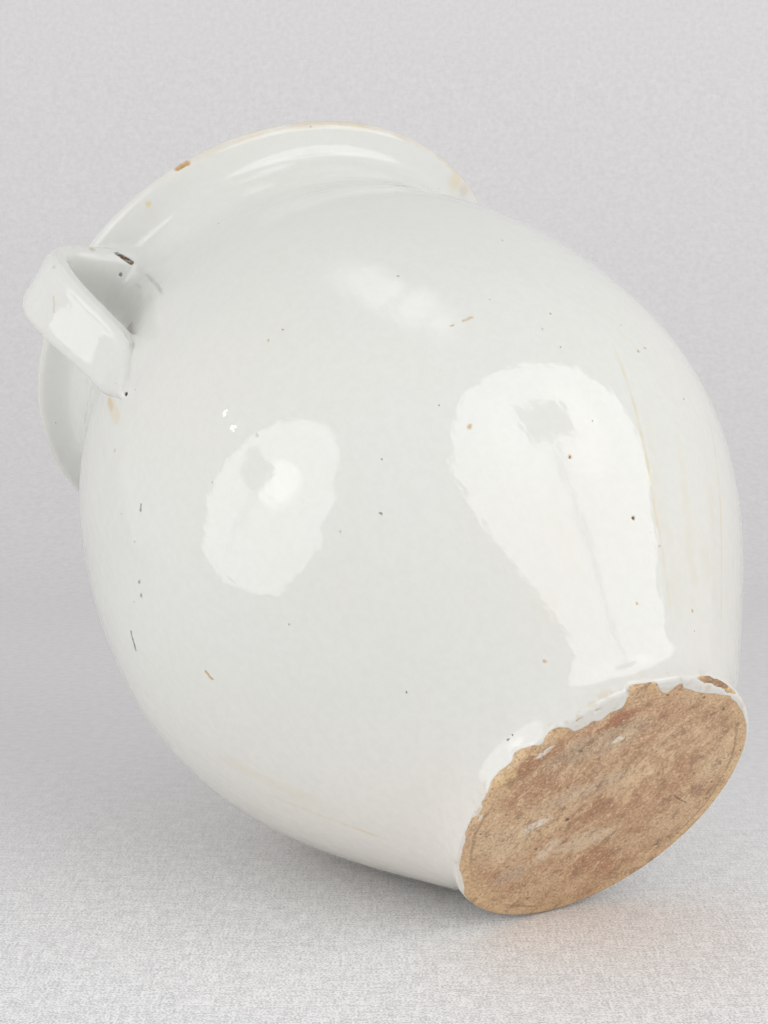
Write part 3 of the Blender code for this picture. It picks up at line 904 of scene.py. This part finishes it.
def clay_material():
    n = Nodes.material("bare_earthenware")
    place = n.place
    radius = n.axis_distance()
    broad = n.noise(place, 34.0, 6.0, 0.66)
    colour = n.mix(n.ramp(broad, 0.40, 0.60), (0.580, 0.362, 0.222), (0.680, 0.475, 0.303))
    # Worn pale round the edge
    edge_noise = n.ramp(n.noise(place, 75.0, 4.0), 0.35, 0.60, 0.25, 0.9)
    edge = n.times(n.ramp(radius, 0.0485, 0.0565), edge_noise)
    colour = n.mix(edge, colour, (0.740, 0.520, 0.300))
    # The patches' edges waver by a coarse and a fine noise
    grain = n.noise(place, 105.0, 6.0, 0.70, "Color")
    shake = n.vector("SUBTRACT", grain, (0.5, 0.5, 0.5))
    for mx, my, long, short, angle, strength, tint in PATCHES:
        c, s = cos_sin(angle)
        reach = min(16.0, 3.0 * short) * MM
        moved = n.vector("MULTIPLY_ADD", shake, (reach, reach, 0.0), place)
        shift = n.vector("SUBTRACT", moved, (mx * MM, my * MM, 0.0))
        u = n.dot(shift, (c / (long * MM), s / (long * MM), 0.0))
        v = n.dot(shift, (-s / (short * MM), c / (short * MM), 0.0))
        far = n.math("SQRT", n.plus(n.times(u, u), n.times(v, v)))
        colour = n.mix(n.ramp(far, 0.45, 1.1, strength, 0.0), colour, tint)
    # Mottles of pale slip and of darker fired clay
    mottle = n.noise(n.stretch(place, (1.0, 0.7, 1.0)), 150.0, 4.0, 0.62)
    colour = n.mix(n.ramp(mottle, 0.52, 0.66, 0.0, 0.68), colour, (0.800, 0.605, 0.385))
    colour = n.mix(n.ramp(mottle, 0.47, 0.34, 0.0, 0.68), colour, (0.360, 0.220, 0.138))
    # Wheel rings, and one groove near the edge
    wave = n.math("MULTIPLY_ADD", n.noise(place, 45.0, 2.0), 0.0045, radius)
    rings = n.noise(n.add("CombineXYZ", {"X": wave}).outputs[0], 330.0, 2.0)
    colour = n.mix(n.ramp(rings, 0.54, 0.74, 0.0, 0.30), colour, (0.370, 0.225, 0.140))
    groove = n.math("ABSOLUTE", n.math("SUBTRACT", wave, 0.0563))
    groove_share = n.times(n.ramp(groove, 0.0002, 0.0009, 0.6, 0.0),
                           n.ramp(n.noise(place, 30.0), 0.45, 0.58))
    colour = n.mix(groove_share, colour, (0.360, 0.240, 0.145))
    # Grit, scratches along the wipe, and open pits
    grit = n.noise(place, 900.0, 3.0, 0.7)
    hair = n.noise(n.stretch(place, (1.0, 0.30, 1.0)), 620.0, 3.0, 0.65)
    colour = n.mix(n.ramp(grit, 0.50, 0.72, 0.0, 0.72), colour, (0.280, 0.168, 0.105))
    colour = n.mix(n.ramp(hair, 0.54, 0.72, 0.0, 0.45), colour, (0.330, 0.210, 0.140))
    colour = n.mix(n.ramp(grit, 0.48, 0.30, 0.0, 0.70), colour, (0.860, 0.670, 0.450))
    pits = n.dots(210.0, 0.13, 0.80)
    colour = n.mix(n.times(pits, 0.70), colour, (0.140, 0.100, 0.075))
    n.set(Base_Color=colour)
    n.set(Roughness=n.ramp(grit, 0.3, 0.7, 0.74, 0.92))
    n.set(Specular_IOR_Level=0.3)
    rough = n.bump(grit, 0.0005, 1.0)
    rough = n.bump(rings, 0.0003, 0.6, rough)
    n.set(Normal=n.bump(pits, -0.0005, 0.8, rough))
    return n.made


THREAD_PITCH = 0.00088


def linen_material():
    """Pale linen, seen from its upper side only, so that views from below aren't blocked."""
    n = Nodes.material("pale_linen")
    place = n.place
    pitch = math.tau / THREAD_PITCH
    split = n.add("SeparateXYZ", {"Vector": place})
    waver = n.times(n.noise(place, 260.0, 2.0), 0.0011)
    warp = n.math("SINE", n.times(n.plus(split.outputs[0], waver), pitch))
    weft = n.math("SINE", n.times(n.plus(split.outputs[1], waver), pitch))
    weave = n.math("MULTIPLY_ADD", n.times(warp, weft), 0.20, 0.5)
    knots = n.noise(place, 1150.0, 1.0, 0.5)
    slubs = n.plus(n.noise(n.stretch(place, (1.0, 0.16, 1.0)), 620.0, 2.0),
                   n.noise(n.stretch(place, (0.16, 1.0, 1.0)), 620.0, 2.0))
    blotch = n.noise(place, 190.0, 3.0)
    tone = n.plus(n.plus(weave, n.times(knots, 1.6)), n.times(slubs, 0.6))
    # The weave is crisp near the front and melts into blotches farther back
    crisp = n.ramp(split.outputs[1], -0.02, 0.30, 1.0, 0.14)
    melted = n.times(n.math("SUBTRACT", 1.0, crisp), 0.5)
    near = n.math("MULTIPLY_ADD", n.ramp(tone, 1.55, 2.20), crisp, melted)
    share = n.plus(near, n.math("MULTIPLY_ADD", blotch, 0.50, -0.25))
    # The linen is lighter towards its front: painted light on the linen in front of and under the
    # pot
    front = n.ramp(split.outputs[1], -0.05, 0.45)
    colour = n.mix(share, n.mix(front, (0.620, 0.620, 0.624), (0.590, 0.580, 0.586)),
                   n.mix(front, (0.985, 0.985, 0.990), (0.905, 0.892, 0.900)))
    n.set(Base_Color=colour)
    n.set(Roughness=0.95)
    n.set(Specular_IOR_Level=0.1)
    n.set(Normal=n.bump(weave, 0.0001, 0.5))
    side = n.add("NewGeometry").outputs["Backfacing"]
    clear = n.add("BsdfTransparent").outputs[0]
    both = n.add("MixShader", {0: side, 1: n.shader.outputs[0], 2: clear})
    n.put(n.tree.nodes["Material Output"].inputs["Surface"], both.outputs[0])
    return n.made


# Pieces

glaze = glaze_material()
clay = clay_material()

body_clay = make_clay(clay)
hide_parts("clay_body")
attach(body_clay, "root")

body_glaze = make_body_glaze(glaze)
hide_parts("body_glaze")
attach(body_glaze, "root")

# A chip on the lip
dent(body_glaze, (-97.9, -60.6, 287.6), (-95.6, -64.2, 287.4), 2.0, 0.8)

for side_name, turn in (("left", math.pi), ("right", 0.0)):
    strap = make_strap("strap_handle_" + side_name, turn, glaze)
    if side_name == "left":
        # A slit by the root, a pinhole under it and a hole at the tip of the tail
        dent(strap, (-108.2, -20.1, 277.2), (-102.9, -20.2, 272.7), 1.15, 1.7)
        dent(strap, (-105.2, -14.1, 271.3), (-105.2, -14.1, 271.2), 0.8, 1.0)
        dent(strap, (-126.8, -1.2, 193.0), (-126.8, -1.2, 192.9), 0.9, 1.1)
    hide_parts("handle_" + side_name, "handle_" + side_name + "_glaze")
    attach(strap, "root")

# Camera, as the photograph was taken: the pot lies tipped over, so its floor is a slanting plane

SENSOR_MM, FOCAL_PX, IMAGE_HEIGHT_PX = 36.0, 1596.1, 1024.0
cam_at = Vector((-0.45234, -0.23048, -0.26643))
cam_right = Vector((0.71091, -0.54796, -0.44084))
cam_up = Vector((-0.20187, -0.75945, 0.61845))
cam_ahead = Vector((0.67369, 0.35067, 0.65052))
camera_data = bpy.data.cameras.new("camera")
camera_data.sensor_width = SENSOR_MM
camera_data.lens = SENSOR_MM * FOCAL_PX / IMAGE_HEIGHT_PX
camera_data.clip_start = 0.02
camera = new_object("camera", camera_data)
camera_turn = Matrix((cam_right, cam_up, -cam_ahead)).transposed()
camera.matrix_world = Matrix.Translation(cam_at) @ camera_turn.to_4x4()
bpy.context.scene.camera = camera

floor_up = Vector(FLOOR_UP).normalized()
floor_x = (cam_right - floor_up * cam_right.dot(floor_up)).normalized()
floor_y = floor_up.cross(floor_x)
# The floor touches the lowest point of the belly or of the foot
slope = math.hypot(floor_up.x, floor_up.y)
drop = min(float(z) * floor_up.z - float(r) * slope for r, z in skin_outer) * MM
drop = min(drop, -FOOT_R * MM * slope)
floor_turn = Matrix((floor_x, floor_y, floor_up)).transposed()


def make_floor():
    """Linen that lies flat under the pot and sweeps up behind it, narrower at its front edge."""
    front, flat, bend, top, steps = -0.42, 0.75, 0.55, 2.6, 24
    front_half, back_half = 0.5, 2.2
    line = [(front, 0.0), (flat, 0.0)]
    for i in range(1, steps + 1):
        a = math.pi / 2 * i / steps
        line.append((flat + bend * math.sin(a), bend - bend * math.cos(a)))
    line.append((flat + bend, top))
    halves = [front_half] + [back_half] * (len(line) - 1)
    verts = [(x, y, z) for (y, z), half in zip(line, halves) for x in (-half, half)]
    faces = [(2 * i, 2 * i + 1, 2 * i + 3, 2 * i + 2) for i in range(len(line) - 1)]
    mesh = bpy.data.meshes.new("linen_floor")
    mesh.from_pydata(verts, [], faces)
    mesh.shade_smooth()
    mesh.materials.append(linen_material())
    obj = new_object("linen_floor", mesh)
    obj.matrix_world = Matrix.Translation(floor_up * drop) @ floor_turn.to_4x4()
    return obj


make_floor()

# Lamps, placed by where the photograph's highlights lie on the pot: lit umbrellas, each with the
# dark head and stand of its flash in front

EDGE_BLUR = 0.02


def make_lamp(
    name, glint, azimuth, height, distance, shift, half, tilt, level, head=(), hot=(), soft=False
):
    """An oval lamp seen from a glint on the pot, in metres and degrees.

    The head lists dark bars by place, half size, angle and depth. Hot lists brighter spots by
    place, reach and added level. A soft lamp fades out towards its edge.
    """
    c, s = cos_sin(azimuth)
    level_way, rise = cos_sin(height)
    way = (floor_x * s + floor_y * c) * level_way + floor_up * rise
    x_flat = floor_up.cross(way).normalized()
    y_flat = way.cross(x_flat)
    c, s = cos_sin(tilt)
    x_axis = x_flat * c + y_flat * s
    y_axis = y_flat * c - x_flat * s
    data = bpy.data.lights.new(name, "AREA")
    data.shape = "ELLIPSE"
    data.size, data.size_y = half[0] * 2, half[1] * 2
    data.energy = level * math.pi * math.pi * half[0] * half[1]
    data.use_nodes = True
    n = Nodes(data.node_tree)
    parametric = n.add("NewGeometry").outputs["Parametric"]
    face = n.add("SeparateXYZ", {"Vector": parametric})
    u = n.math("MULTIPLY_ADD", face.outputs[0], half[0] * 2, -half[0])
    v = n.math("MULTIPLY_ADD", face.outputs[1], half[1] * 2, -half[1])

    def from_spot(place, turned=0.0):
        c, s = cos_sin(turned)
        du, dv = n.math("SUBTRACT", u, place[0]), n.math("SUBTRACT", v, place[1])
        along = n.plus(n.times(du, c), n.times(dv, s))
        over = n.math("SUBTRACT", n.times(dv, c), n.times(du, s))
        return along, over

    def bar(place, size, turned):
        sides = [
            n.ramp(n.math("ABSOLUTE", off), reach - EDGE_BLUR, reach + EDGE_BLUR, 1.0, 0.0)
            for off, reach in zip(from_spot(place, turned), size)
        ]
        return n.times(*sides)

    glow = 1.0
    if soft:
        across, over = n.math("DIVIDE", u, half[0]), n.math("DIVIDE", v, half[1])
        far = n.plus(n.times(across, across), n.times(over, over))
        glow = n.ramp(far, 0.05, 1.0, 1.0, 0.0)
    for place, reach, more in hot:
        along, over = from_spot(place)
        far = n.plus(n.times(along, along), n.times(over, over))
        glow = n.plus(n.ramp(far, 0.0, reach * reach, more, 0.0), glow)
    for place, size, turned, depth in head:
        shade = n.math("MULTIPLY_ADD", bar(place, size, turned), -depth, 1.0)
        glow = n.times(glow, shade)
    n.put(data.node_tree.nodes["Emission"].inputs["Strength"], glow)
    middle = Vector(glint) + way * distance + x_flat * shift[0] + y_flat * shift[1]
    lamp_turn = Matrix((x_axis, y_axis, way)).transposed()
    lamp = new_object(name, data)
    lamp.matrix_world = Matrix.Translation(middle) @ lamp_turn.to_4x4()


LEFT = {"glint": (-0.1191, -0.0235, 0.0997), "azimuth": -129.4, "height": 13.0, "distance": 1.25}
make_lamp(
    "umbrella_left", **LEFT, shift=(-0.070, 0.04), half=(0.46, 0.71), tilt=-30.0, level=1.10,
    head=(((-0.19, 0.10), (0.14, 0.10), 0.0, 0.92), ((-0.06, -0.30), (0.014, 0.30), 0.0, 0.55)),
    hot=(((0.02, 0.16), 0.22, 1.2),),
)
make_lamp(
    "umbrella_right", glint=(-0.0524, -0.0745, 0.0486), azimuth=134.3, height=27.1, distance=1.15,
    shift=(0.19, 0.20), half=(0.88, 0.55), tilt=0.0, level=1.20,
    head=(((-0.04, 0.156), (0.19, 0.09), 0.0, 0.92), ((-0.05, -0.18), (0.022, 0.26), 0.0, 0.65)),
    hot=(((0.22, 0.13), 0.30, 0.4), ((-0.32, 0.12), 0.30, 0.25)),
)
make_lamp(
    "ceiling_glow", glint=(-0.0927, -0.0919, 0.1405), azimuth=-55.6, height=81.0, distance=1.6,
    shift=(-0.015, 0.18), half=(0.30, 0.78), tilt=-17.0, level=0.95,
    head=(((0.02, 0.30), (0.34, 0.05), 24.0, 0.45), ((-0.02, -0.12), (0.34, 0.06), 24.0, 0.5)),
    soft=True,
)
for bulb, shift in (("bulb_a", (-0.80, 0.65)), ("bulb_b", (-0.60, 0.54))):
    make_lamp(bulb, **LEFT, shift=shift, half=(0.055, 0.035), tilt=30.0, level=6.0, soft=True)

scene = bpy.context.scene
world = bpy.data.worlds.new("studio")
scene.world = world
world.use_nodes = True
n = Nodes(world.node_tree)
back = world.node_tree.nodes["Background"]
# The room's ceiling is darker than its pale walls and floor, and the walls at the sides brightest
way = n.add("TexCoord").outputs["Generated"]
walls = n.ramp(n.dot(way, tuple(floor_up)), -0.35, 0.8, 1.05, 0.54)
flanks = n.ramp(n.math("ABSOLUTE", n.dot(way, tuple(floor_x))), 0.45, 0.95, 0.88, 1.60)
n.put(back.inputs["Strength"], n.times(walls, flanks))
back.inputs["Color"].default_value = (1.0, 0.995, 0.995, 1.0)
# Seen directly or as a reflection, the room is plain and pale
seen = n.add("Background")
seen.inputs["Color"].default_value = (0.72, 0.712, 0.716, 1.0)
path = n.add("LightPath")
is_seen = n.math("MAXIMUM", path.outputs["Is Camera Ray"], path.outputs["Is Glossy Ray"])
is_seen = n.math("MAXIMUM", is_seen, path.outputs["Is Transmission Ray"])
both = n.add("MixShader", {0: is_seen, 1: back.outputs[0], 2: seen.outputs[0]})
n.put(world.node_tree.nodes["World Output"].inputs["Surface"], both.outputs[0])
scene.view_settings.view_transform = "Standard"
